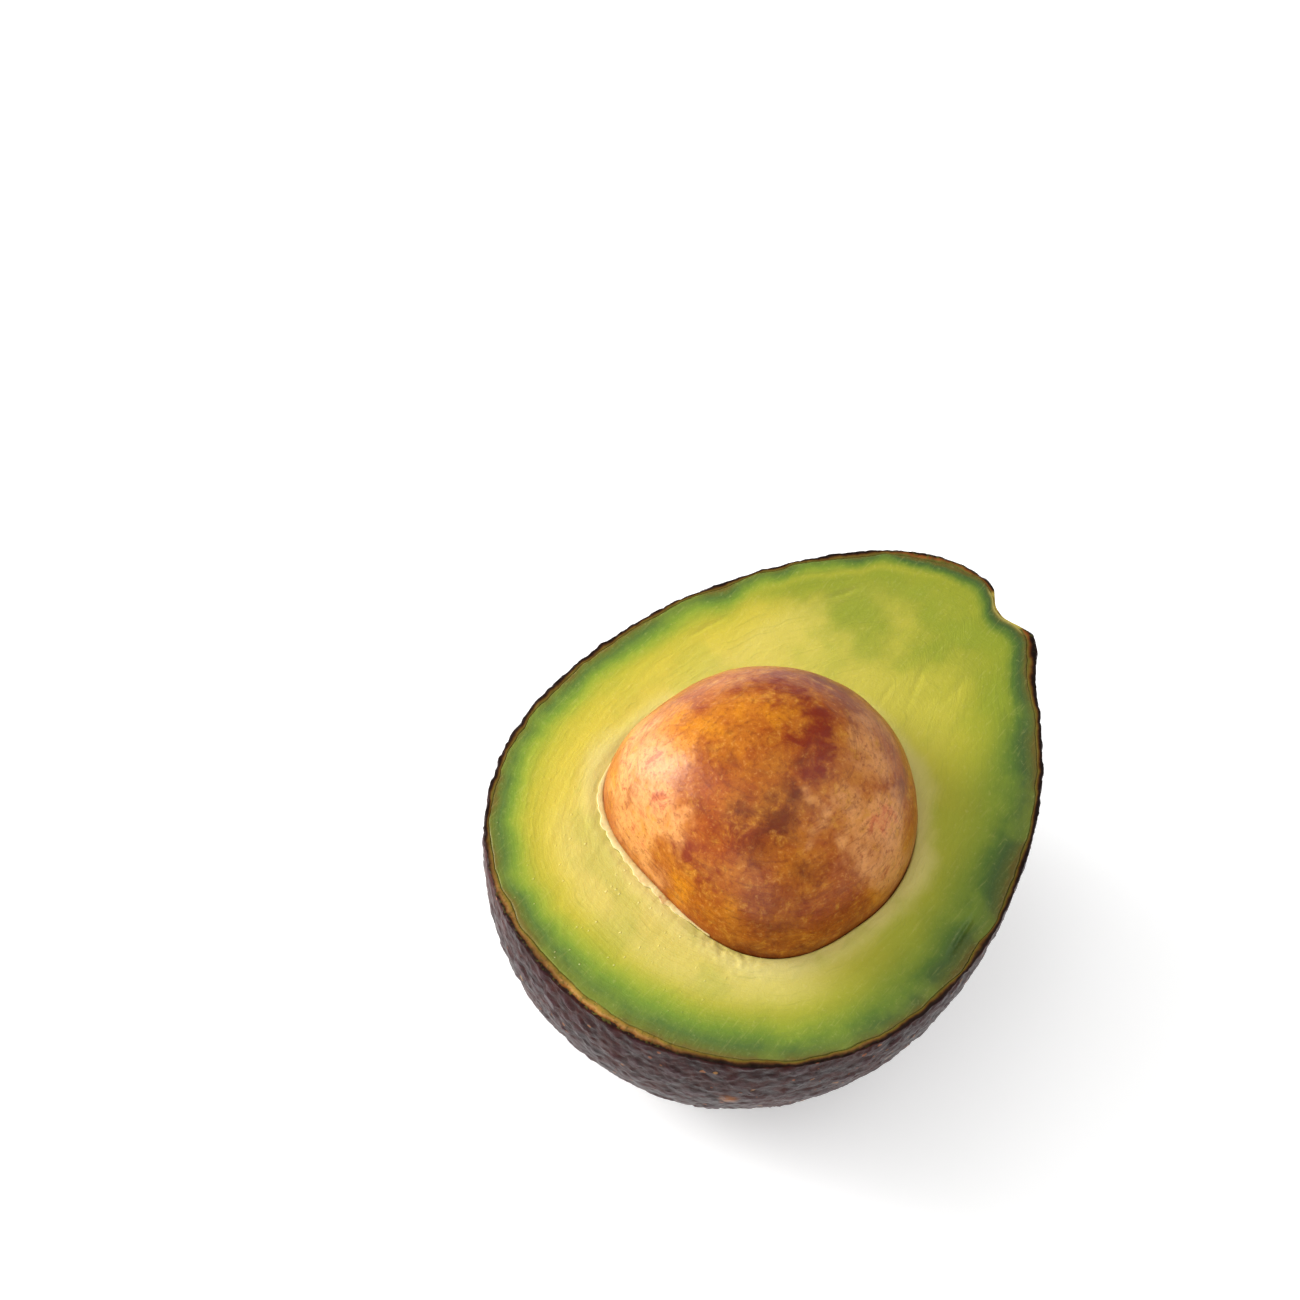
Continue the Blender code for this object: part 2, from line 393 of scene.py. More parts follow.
def make_skin(surface):
    """A ball pushed in from the top: its inside, the cut rim and the pebbled outside, one closed shell."""
    rings = SKIN_INSIDE_RINGS + SKIN_LIP_RINGS + SKIN_OUTSIDE_RINGS
    skin, ring, around = ball("skin", SKIN_AROUND, rings)
    inward = np.clip(ring / SKIN_INSIDE_RINGS, 0.0, 1.0)
    outward = np.clip((rings - ring) / SKIN_OUTSIDE_RINGS, 0.0, 1.0)
    rim = np.clip((ring - SKIN_INSIDE_RINGS) / SKIN_LIP_RINGS, 0.0, 1.0)
    directions = bowl_directions(around, 0.5 * math.pi * np.minimum(inward, outward))
    form = fruit_form(directions)
    relief, crest_bloom_and_sheen = pebbles(form)
    thickness = peel_thickness(directions)
    in_scar = smooth(-0.2, 0.3, scar_share(form))
    relief = relief * (1.0 - 0.8 * in_scar) * rim
    points = fruit_surface(directions, relief - thickness * (1.0 - rim))
    on_rim = (ring >= SKIN_INSIDE_RINGS) & (ring <= SKIN_INSIDE_RINGS + SKIN_LIP_RINGS)
    rounding = RIM_ROUNDING * rim**4 + RIM_UNEVEN * (1.0 + wander(form + points, 1.6 * MM, 2.2))
    points[:, 2] -= np.where(on_rim, rounding, 0.0)
    floor = SKIN_THICKNESS * (1.0 - rim)
    points[:, 2] = np.maximum(points[:, 2], floor + 0.02 * MM)
    move_points(skin, points)
    deep = (CUT_HEIGHT - points[:, 2]) / MM
    paint(skin, "rim", np.where(on_rim, 1.0 - rim, 0.0) * smooth(1.2, 0.2, deep))
    paint(skin, "crest_bloom_and_sheen", crest_bloom_and_sheen)
    paint(skin, "scar", in_scar)
    paint(skin, "tan", TAN_LEAST + lobes(around, TAN_PEEL))
    paint(skin, "rust", np.maximum(lobe(around, 345.0, 34.0), lobe(around, 40.0, 40.0)))
    paint(skin, "blemish", np.exp(-((np.linalg.norm(form - BLEMISH_AT, axis=1) / BLEMISH_REACH) ** 2)))
    finish_piece(skin, surface, "skin")


# On the flesh, as bearings in degrees from the seed's centre
TORN_AT, TORN_REACH = 203.0, 14.0  # where the knife tore it by the seed's base
# The beads of juice there also carry painted glints, a painted highlight.
WET_AT, WET_REACH = 160.0, 48.0  # where beads of juice stand on it
# The green band under the skin: its plain width, and where it is wider, with bearing, reach and how much
GREEN_LEAST = 0.78
GREEN_BAND = [(188.0, 36.0, 0.56), (272.0, 34.0, 0.46), (316.0, 22.0, 0.34), (8.0, 30.0, -0.44)]
FLESH_LIP_RADIUS = 0.32 * MM  # where the cut face turns down to the seed
FLESH_EDGE_RADIUS = 0.12 * MM  # and down to the skin
COAT_FROM, COAT_TO = 104.0, 194.0  # bearings of the torn coat's ends
COAT_FADE = 32.0  # how far in from its ends it comes to full size
COAT_WIDTH = 0.16 * MM  # where it stands between the seed and the flesh


def coat_share(bearing):
    """1 along the seed's flat base, where the coat clings, and 0 past the coat's ends."""
    degrees = np.degrees(bearing) % 360.0
    return smooth(COAT_FROM, COAT_FROM + COAT_FADE, degrees) * smooth(COAT_TO, COAT_TO - COAT_FADE, degrees)


# Nicks the knife left in the cut face: place from the fruit's centre in mm, heading, length, width, depth
NICKS = [
    (23.0, -4.5, 14.0, 7.0, 0.6, 0.10),
    (19.5, -2.0, 8.0, 5.0, 0.5, 0.07),
    (27.0, -9.0, -6.0, 8.0, 0.5, 0.08),
    (14.0, 23.0, -18.0, 6.0, 0.6, 0.12),
    (-6.0, -30.3, 6.0, 6.5, 0.7, 0.45),
    (30.0, 12.0, -30.0, 5.0, 0.7, 0.16),
]


def flesh_relief(places, rind, seed_gap, bearing):
    """Height of the cut face above the plane, in metres; places are from the fruit's centre."""
    narrowing = np.sqrt(np.clip(1.0 - (places[:, 0] / HALF_LENGTH) ** 2, 0.05, 1.0))
    half_width = np.maximum(SIDE_REACH * narrowing, MM)
    across = places[:, 1] / half_width * 0.5 * FRUIT_WIDTH
    along = np.stack([places[:, 0] / 9.0, across, np.zeros_like(across)], axis=1)
    height = 0.03 * MM * wander(along, 1.3 * MM, 5.5)
    height += 0.10 * MM * wander(places, 9.0 * MM, 1.5)
    torn = lobe(bearing, TORN_AT, TORN_REACH) * np.exp(-seed_gap / (2.2 * MM))
    by_base = coat_share(bearing) * np.exp(-seed_gap / (1.2 * MM))
    crumbs = wander(places, 1.1 * MM, 8.0, 3)
    height += (0.30 * torn + 0.12 * by_base) * MM * crumbs - 0.12 * MM * torn
    height += 0.12 * MM * np.exp(-((seed_gap / MM - 1.6) / 1.1) ** 2)
    height += 0.05 * MM * crumbs * np.exp(-rind / (0.8 * MM))
    for x, y, heading, length, width, depth in NICKS:
        turn = math.radians(heading)
        away = places[:, :2] - np.array([x, y]) * MM
        down_it = (away[:, 0] * math.cos(turn) + away[:, 1] * math.sin(turn)) / (0.5 * length * MM)
        off_it = (away[:, 1] * math.cos(turn) - away[:, 0] * math.sin(turn)) / (0.5 * width * MM)
        height -= depth * MM * np.exp(-(down_it**4) - off_it**2) * (1.0 + 0.4 * crumbs)
    return height


def make_flesh(surface):
    """A ball pushed in from the top: the seed's hollow, its lip, the cut face, the edge, and the back."""
    stretches = (FLESH_HOLLOW_RINGS, FLESH_LIP_RINGS, FLESH_FACE_RINGS, FLESH_EDGE_RINGS, FLESH_BACK_RINGS)
    flesh, ring, bearing = ball("flesh", FLESH_AROUND, sum(stretches))
    ends = np.cumsum(stretches)
    hollow = np.clip(ring / ends[0], 0.0, 1.0)
    lip = np.clip((ring - ends[0]) / stretches[1], 0.0, 1.0)
    face = np.clip((ring - ends[1]) / stretches[2], 0.0, 1.0)
    edge = np.clip((ring - ends[2]) / stretches[3], 0.0, 1.0)
    back = np.clip((ring - ends[3]) / stretches[4], 0.0, 1.0)

    room = COAT_WIDTH * coat_share(bearing) + CONTACT_GAP
    seed_edge, seed_turn = read_outline(level_outline(seed_form), bearing)
    seed_edge += room
    rim_edge, rim_turn = read_outline(
        level_outline(fruit_surface, lambda ring: -peel_thickness(ring) - CONTACT_GAP), bearing
    )
    level = np.stack([np.cos(bearing), np.sin(bearing), np.zeros_like(bearing)], axis=1)

    quarter = 0.5 * math.pi
    lip_drop = FLESH_LIP_RADIUS / SEED_RADIUS
    down = bowl_directions(seed_turn, (quarter - lip_drop) * hollow)
    points = seed_form(down, room)
    on_lip = ring > ends[0]
    inner = seed_edge + FLESH_LIP_RADIUS * (1.0 - np.cos(quarter * lip))
    inner_drop = FLESH_LIP_RADIUS * (1.0 - np.sin(quarter * lip))
    outer = rim_edge - FLESH_EDGE_RADIUS
    reach = inner + (outer - inner) * face + FLESH_EDGE_RADIUS * np.sin(quarter * edge)
    flat = SEED_CENTRE + level * reach[:, None]
    flat[:, 2] -= np.where(face > 0.0, FLESH_EDGE_RADIUS * (1.0 - np.cos(quarter * edge)), inner_drop)
    points[on_lip] = flat[on_lip]
    on_back = ring > ends[3]
    edge_turn = FLESH_EDGE_RADIUS / FRUIT_WIDTH * (back < 1.0)
    below = bowl_directions(rim_turn, quarter * (1.0 - back) - edge_turn)
    shell = fruit_surface(below, -peel_thickness(below) - CONTACT_GAP)
    shell[:, 2] = np.maximum(shell[:, 2], SKIN_THICKNESS + CONTACT_GAP)
    points[on_back] = shell[on_back]

    on_face = on_lip & ~on_back
    places = points - FRUIT_CENTRE
    rind = np.maximum(rim_edge - reach, 0.0) * rind_slant(rim_turn, bearing)
    seed_gap = np.maximum(reach - seed_edge, 0.0)
    relief = flesh_relief(places, rind, seed_gap, bearing)
    fading = np.minimum(lip, 1.0 - edge)
    points[:, 2] += np.where(on_face, relief * fading, 0.0)
    move_points(flesh, points)

    paint(flesh, "rind_mm", np.where(on_face, rind, 0.0) / MM)
    paint(flesh, "seed_mm", np.where(on_face, seed_gap, 0.0) / MM)
    paint(flesh, "green", GREEN_LEAST + lobes(bearing, GREEN_BAND))
    # Colour and painted shade: low where the seed shades the flank.
    paint(flesh, "butter_and_light", butter_and_light_share(places))
    paint(flesh, "cream", cream_share(places, rind))
    paint(flesh, "stem", smooth(12.0 * MM, 32.0 * MM, places[:, 0]) * smooth(1.2 * MM, 3.6 * MM, rind))
    paint(flesh, "wet_and_glints", lobe(bearing, WET_AT, WET_REACH))
    torn = lobe(bearing, TORN_AT, TORN_REACH) * np.exp(-seed_gap / (1.6 * MM))
    in_scar = smooth(-0.4, 0.2, scar_share(places)) * np.exp(-rind / (0.4 * MM))
    paint(flesh, "torn", np.maximum(torn, in_scar))
    finish_piece(flesh, surface, "flesh")


def rind_slant(turn, bearing):
    """Rays from the seed's centre meet the rim at a slant; this turns a distance along one square to it."""
    ring = np.stack([np.cos(turn), np.sin(turn), np.zeros_like(turn)], axis=1)
    normals = fruit_normals(ring)
    return np.clip(normals[:, 0] * np.cos(bearing) + normals[:, 1] * np.sin(bearing), 0.5, 1.0)


def butter_and_light_share(places):
    """Yellow and painted light share: 1 on the buttery, lit flank and blossom end, 0 by the stem and on the
    flank painted in shade.
    """
    toward = (-0.45 * places[:, 0] + 0.95 * places[:, 1]) / (34.0 * MM)
    return 1.0 / (1.0 + np.exp(-4.0 * (toward + 0.05)))


def cream_share(places, rind):
    """Where the flesh is palest: well inside the blossom end."""
    return smooth(-16.0, -28.0, places[:, 0] / MM) * smooth(5.0, 12.0, rind / MM)


# The seed's mottling, with painted highlight and painted shade among it, each patch by its bearing from the
# stem end and its rise above the cut, in degrees, with its reach in mm and its strength
RED_PATCHES = [
    (37, 56, 4.2, 0.9), (26, 65, 2.6, 1.1), (4, 75, 2.2, 1.2), (-34, 79, 2.4, 1.2), (-95, 84, 2.2, 1.1),
    (-80, 74, 2.2, 1.1), (-104, 69, 2.4, 0.9), (8, 50, 4.0, 0.9), (174, 32, 3.0, 0.9),
    (-173, 26, 2.8, 0.9), (-168, 44, 3.2, 0.7), (-128, 22, 3.2, 0.6), (-112, 16, 2.8, 0.6),
    (150, 62, 2.4, 0.5), (60, 58, 3.4, 0.6),
]
# The seed's own dark mottling; those only a few degrees above the cut are painted shade along its bottom
# edge.
DARK_AND_SHADE_PATCHES = [
    (-154, 55, 3.6, 1.1), (-141, 62, 3.0, 1.0), (-160, 47, 3.0, 0.8), (-131, 37, 2.8, 0.9),
    (-120, 76, 2.0, 0.6), (-146, 4, 3.4, 1.0), (-132, 3, 3.4, 1.0), (-114, 3, 3.0, 0.6),
    (-63, 38, 2.2, 0.9), (-57, 28, 2.2, 0.7), (-140, 27, 4.4, 0.7), (-141, 14, 4.2, 0.7),
]
GOLD_PATCHES = [
    (80, 70, 2.8, 0.8), (112, 63, 3.0, 1.0), (38, 80, 1.9, 0.8), (156, 68, 2.6, 0.6), (178, 11, 3.2, 1.0),
    (-162, 18, 3.4, 0.7), (101, 47, 3.8, 1.1), (-170, 60, 2.2, 0.5), (-98, 11, 3.4, 0.7),
    (128, 54, 3.0, 0.8),
]
# Partly the seed's own pale colour and partly painted highlight, most of all about the key light's highlight
# near bearings 125 to 160.
PALE_AND_HIGHLIGHT_PATCHES = [
    (131, 40, 5.6, 1.0), (152, 34, 4.6, 1.0), (148, 15, 5.2, 1.0), (126, 22, 4.4, 0.9),
    (160, 5, 3.4, 0.9), (-117, 57, 2.2, 0.8), (-109, 42, 2.6, 0.9), (-50, 54, 4.2, 0.8),
    (-30, 46, 3.4, 0.6), (-82, 36, 4.6, 1.1), (-86, 20, 4.2, 0.9), (-100, 29, 3.4, 0.8),
    (104, 28, 4.4, 0.8), (-92, 50, 3.2, 0.8),
]


def patches(directions, places):
    """How strongly a set of soft-edged patches covers each point of the seed, from 0 to 1."""
    cover = np.zeros(len(directions))
    for bearing, rise, reach, strength in places:
        turn, lift = math.radians(bearing), math.radians(rise)
        level = math.cos(lift)
        middle = np.array([math.cos(turn) * level, math.sin(turn) * level, math.sin(lift)])
        away = np.linalg.norm(directions - middle, axis=1) * SEED_RADIUS / (reach * MM)
        cover = np.maximum(cover, strength * np.exp(-(away**2.4)))
    return cover


def make_seed(surface):
    """The seed: a ball drawn out to its tip and flattened at its base, gently uneven."""
    seed, _, _ = ball("seed", SEED_AROUND, SEED_RINGS)
    directions = unit(points_of(seed))
    outward = 0.13 * MM * wander(directions, 0.42, 6.0) + 0.035 * MM * wander(directions, 0.09, 2.0)
    points = seed_form(directions, outward)
    move_points(seed, points)
    facing = unit(points - SEED_CENTRE)
    shaken = np.stack([wander(facing, 0.22, 11.0 * axis, 3) for axis in (1, 2, 3)], axis=1)
    facing = unit(facing + 0.15 * shaken)
    paint(seed, "red", patches(facing, RED_PATCHES))
    paint(seed, "dark_and_shade", patches(facing, DARK_AND_SHADE_PATCHES))
    paint(seed, "gold", patches(facing, GOLD_PATCHES))
    paint(seed, "pale_and_highlight", patches(facing, PALE_AND_HIGHLIGHT_PATCHES))
    paint(seed, "above_mm", (points[:, 2] - CUT_HEIGHT) / MM)
    finish_piece(seed, surface, "seed")


COAT_DEPTH = 9.0 * MM  # how far it reaches down the seed's base, below the cut
COAT_FLAP = 0.9 * MM  # how far its torn edge lies out over the flesh
COAT_FOLD = 0.35  # the share of the strip that is the flap
COAT_WALL = 0.22 * MM


def make_coat(surface):
    """The seed coat: a thin torn skin between the seed's base and the flesh, its edge folded outward."""
    deselect_all()
    bpy.ops.mesh.primitive_grid_add(x_subdivisions=COAT_ALONG, y_subdivisions=COAT_DOWN, size=2.0)
    coat = bpy.context.active_object
    coat.name = "seed_coat"
    grid = points_of(coat)
    along = 0.5 + 0.5 * grid[:, 0]
    down = 0.5 - 0.5 * grid[:, 1]
    bearing = np.radians(COAT_TO + (COAT_FROM - COAT_TO) * along)
    _, turn = read_outline(level_outline(seed_form), bearing)
    ends = coat_share(bearing)
    level = np.stack([np.cos(bearing), np.sin(bearing), np.zeros_like(bearing)], axis=1)
    ragged = wander(level * SEED_RADIUS, 2.6 * MM, 3.3, 4)
    flap = np.clip(1.0 - down / COAT_FOLD, 0.0, 1.0)
    sunk = np.clip((down - COAT_FOLD) / (1.0 - COAT_FOLD), 0.0, 1.0)
    drop = 0.5 * math.pi - COAT_DEPTH / SEED_RADIUS * sunk
    points = seed_form(bowl_directions(turn, drop), 0.5 * CONTACT_GAP)
    reach = COAT_FLAP * ends * np.clip(0.75 + 0.9 * ragged, 0.30, 2.0) + COAT_WIDTH
    points += level * (flap * reach)[:, None]
    crumple = wander(level * (SEED_RADIUS + flap * reach)[:, None], 0.7 * MM, 6.1)
    height = 0.05 * MM + 0.05 * MM * np.sin(math.pi * flap) + 0.05 * MM * crumple * (flap > 0.0)
    faded = np.where(flap > 0.0, 1.0, np.clip(1.0 - 6.0 * sunk, 0.0, 1.0))
    points[:, 2] += height * faded * (0.2 + 0.8 * ends)
    move_points(coat, points)
    wall = coat.modifiers.new("wall", "SOLIDIFY")
    wall.thickness = COAT_WALL
    wall.offset = 1.0
    coat.select_set(True)
    bpy.ops.object.modifier_apply(modifier=wall.name)
    bpy.ops.object.mode_set(mode="EDIT")
    bpy.ops.mesh.select_all(action="SELECT")
    bpy.ops.mesh.normals_make_consistent(inside=False)
    bpy.ops.object.mode_set(mode="OBJECT")
    finish_piece(coat, surface, "seed_coat")


# ---------------------------------------------------------------------------------------------------------
# Materials
# ---------------------------------------------------------------------------------------------------------
def colour(code):
    """A linear colour from an sRGB hex code."""
    channels = [int(code[place : place + 2], 16) / 255.0 for place in (1, 3, 5)]
    linear = [c / 12.92 if c <= 0.04045 else ((c + 0.055) / 1.055) ** 2.4 for c in channels]
    return (*linear, 1.0)


def per_mm(size):
    """A texture's scale for a pattern that repeats about every this many millimetres."""
    return 1.0 / (size * MM)


def add(tree, kind, values, stops=(), give=0, **settings):
    """Adds a node with its settings, inputs (a value, a hex colour or an output) and its ramp's stops."""
    made = tree.nodes.new(kind)
    for name, setting in settings.items():
        setattr(made, name, setting)
    for socket, value in values.items():
        if isinstance(value, bpy.types.NodeSocket):
            tree.links.new(value, made.inputs[socket])
        else:
            made.inputs[socket].default_value = colour(value) if isinstance(value, str) else value
    for index, (place, code) in enumerate(stops):
        elements = made.color_ramp.elements
        element = elements[index] if index < len(elements) else elements.new(place)
        element.position = place
        element.color = colour(code)
    return made.outputs[give]


def lay_over(tree, under, over, pattern, low, high, most=1.0):
    """Lays one colour over another, from none where the pattern is low to the most where it is high."""
    ends = {"Value": pattern, "From Min": low, "From Max": high, "To Min": 0.0, "To Max": most}
    share = add(tree, "ShaderNodeMapRange", ends, interpolation_type="SMOOTHSTEP")
    return add(tree, "ShaderNodeMix", {0: share, 6: under, 7: over}, give=2, data_type="RGBA")


def start_material(name):
    """A new material's tree, its Principled shader and its Object coordinates."""
    made = bpy.data.materials.new(name)
    made.use_nodes = True
    tree = made.node_tree
    place = add(tree, "ShaderNodeTexCoord", {}, give="Object")
    return made, tree, tree.nodes["Principled BSDF"].inputs, place


def moist_flesh():
    """Avocado flesh, freshly cut: soft and oily, green by the skin and buttery within, satin with beads,
    with painted glints and painted shade.
    """
    made, tree, surface, place = start_material("moist_flesh")
    rind = add(tree, "ShaderNodeAttribute", {}, give="Fac", attribute_name="rind_mm")
    seed_gap = add(tree, "ShaderNodeAttribute", {}, give="Fac", attribute_name="seed_mm")
    green = add(tree, "ShaderNodeAttribute", {}, give="Fac", attribute_name="green")
    butter_and_light = add(tree, "ShaderNodeAttribute", {}, give="Fac", attribute_name="butter_and_light")
    torn = add(tree, "ShaderNodeAttribute", {}, give="Fac", attribute_name="torn")
    cream = add(tree, "ShaderNodeAttribute", {}, give="Fac", attribute_name="cream")
    wet_and_glints = add(tree, "ShaderNodeAttribute", {}, give="Fac", attribute_name="wet_and_glints")
    stem = add(tree, "ShaderNodeAttribute", {}, give="Fac", attribute_name="stem")

    lengthways = add(tree, "ShaderNodeMapping", {"Vector": place, "Scale": (0.12, 1.0, 1.0)})
    streaks = add(
        tree,
        "ShaderNodeTexNoise",
        {"Vector": lengthways, "Scale": per_mm(0.9), "Detail": 4.0, "Roughness": 0.6},
    )
    hairs = add(tree, "ShaderNodeTexNoise", {"Vector": lengthways, "Scale": per_mm(0.3), "Detail": 2.0})
    drift = add(tree, "ShaderNodeTexNoise", {"Vector": place, "Scale": per_mm(8.0), "Detail": 4.0})
    grain = add(
        tree, "ShaderNodeTexNoise", {"Vector": place, "Scale": per_mm(0.7), "Detail": 4.0, "Roughness": 0.7}
    )

    # The knife's fine lines by the rim follow it: the pattern is read by direction and by depth from the rim
    to_seed = add(tree, "ShaderNodeVectorMath", {0: place, 1: tuple(-SEED_CENTRE)}, operation="ADD")
    facing = add(tree, "ShaderNodeVectorMath", {0: to_seed}, operation="NORMALIZE")
    level = add(tree, "ShaderNodeVectorMath", {0: facing, 1: (4.0, 4.0, 0.0)}, operation="MULTIPLY")
    depth_in = add(tree, "ShaderNodeMath", {0: rind, 1: 2.2}, operation="MULTIPLY")
    inward = add(tree, "ShaderNodeCombineXYZ", {"Z": depth_in})
    by_rim = add(tree, "ShaderNodeVectorMath", {0: level, 1: inward}, operation="ADD")
    knife = add(
        tree,
        "ShaderNodeTexNoise",
        {"Vector": by_rim, "Scale": 1.0, "Detail": 4.0, "Roughness": 0.6},
    )

    drifted = add(tree, "ShaderNodeMath", {0: drift, 1: 3.0, 2: rind}, operation="MULTIPLY_ADD")
    shaken = add(tree, "ShaderNodeMath", {0: grain, 1: 0.8, 2: drifted}, operation="MULTIPLY_ADD")
    depth = add(tree, "ShaderNodeMath", {0: shaken, 1: 1.9}, operation="SUBTRACT")
    share = add(tree, "ShaderNodeMath", {0: depth, 1: green}, operation="DIVIDE")
    sixteenth = add(tree, "ShaderNodeMath", {0: share, 1: 16.0}, operation="DIVIDE")
    # The lime ramp is the stem end's colour and also painted shade for the flank in the seed's shadow; the
    # buttery ramp is the lit flank's.
    limy_and_shaded = add(
        tree,
        "ShaderNodeValToRGB",
        {"Fac": sixteenth},
        [
            (0.0, "#5e5420"), (0.03, "#525a26"), (0.09, "#43592a"), (0.18, "#506b26"), (0.30, "#758628"),
            (0.45, "#93992b"), (0.65, "#a5a42e"), (1.0, "#b2ac36"),
        ],
    )
    buttery_and_lit = add(
        tree,
        "ShaderNodeValToRGB",
        {"Fac": sixteenth},
        [
            (0.0, "#6c6126"), (0.03, "#626b28"), (0.09, "#587230"), (0.18, "#76912f"), (0.26, "#98a433"),
            (0.38, "#b9af38"), (0.55, "#cbb943"), (0.80, "#d2bf50"), (1.0, "#d6c45f"),
        ],
    )
    body = add(tree, "ShaderNodeMix", {0: butter_and_light, 6: limy_and_shaded, 7: buttery_and_lit}, give=2, data_type="RGBA")
    paler = add(tree, "ShaderNodeMath", {0: drift, 1: 5.0, 2: seed_gap}, operation="MULTIPLY_ADD")
    body = lay_over(tree, body, "#d2c476", cream, 0.0, 1.0, 0.50)
    body = lay_over(tree, body, "#d2c47c", paler, 6.8, 2.8, 0.70)
    body = lay_over(tree, body, "#c4b460", torn, 0.15, 0.9, 0.7)
    limed = add(tree, "ShaderNodeMath", {0: drift, 1: stem}, operation="MULTIPLY")
    body = lay_over(tree, body, "#828e26", limed, 0.14, 0.60, 0.80)
    body = lay_over(tree, body, "#8f9e30", drift, 0.47, 0.66, 0.26)
    body = lay_over(tree, body, "#8b9432", streaks, 0.52, 0.72, 0.08)
    body = lay_over(tree, body, "#e6d888", hairs, 0.58, 0.76, 0.08)
    body = lay_over(tree, body, "#6f7a2a", knife, 0.55, 0.75, 0.20)
    body = lay_over(tree, body, "#efe39a", grain, 0.56, 0.72, 0.09)
    long_cells = add(tree, "ShaderNodeMapping", {"Vector": place, "Scale": (0.6, 1.0, 1.0)})
    cells = add(tree, "ShaderNodeTexVoronoi", {"Vector": long_cells, "Scale": per_mm(1.0)})
    ends = {"Value": cells, "From Min": 0.18, "From Max": 0.02}
    beads_and_glints = add(tree, "ShaderNodeMapRange", ends, interpolation_type="SMOOTHSTEP")
    beads_and_glints = add(tree, "ShaderNodeMath", {0: beads_and_glints, 1: wet_and_glints}, operation="MULTIPLY")
    beads_and_glints = add(tree, "ShaderNodeMath", {0: beads_and_glints, 1: drift}, operation="MULTIPLY")
    # Pale specks on the beads of juice: painted glints, a painted highlight over their bumps.
    body = lay_over(tree, body, "#f4eaa0", beads_and_glints, 0.18, 0.50, 0.55)
    tree.links.new(body, surface["Base Color"])

    normal = add(tree, "ShaderNodeBump", {"Height": streaks, "Distance": 0.03 * MM})
    normal = add(tree, "ShaderNodeBump", {"Height": knife, "Distance": 0.06 * MM, "Normal": normal})
    normal = add(tree, "ShaderNodeBump", {"Height": grain, "Distance": 0.07 * MM, "Normal": normal})
    normal = add(tree, "ShaderNodeBump", {"Height": beads_and_glints, "Distance": 0.14 * MM, "Normal": normal})
    tree.links.new(normal, surface["Normal"])
    ends = {"Value": grain, "From Min": 0.3, "From Max": 0.7, "To Min": 0.34, "To Max": 0.50}
    tree.links.new(add(tree, "ShaderNodeMapRange", ends), surface["Roughness"])
    surface["IOR"].default_value = 1.40
    surface["Specular IOR Level"].default_value = 0.35
    surface["Subsurface Weight"].default_value = 0.20
    surface["Subsurface Radius"].default_value = (1.0, 0.9, 0.35)
    surface["Subsurface Scale"].default_value = 1.0 * MM
    return made


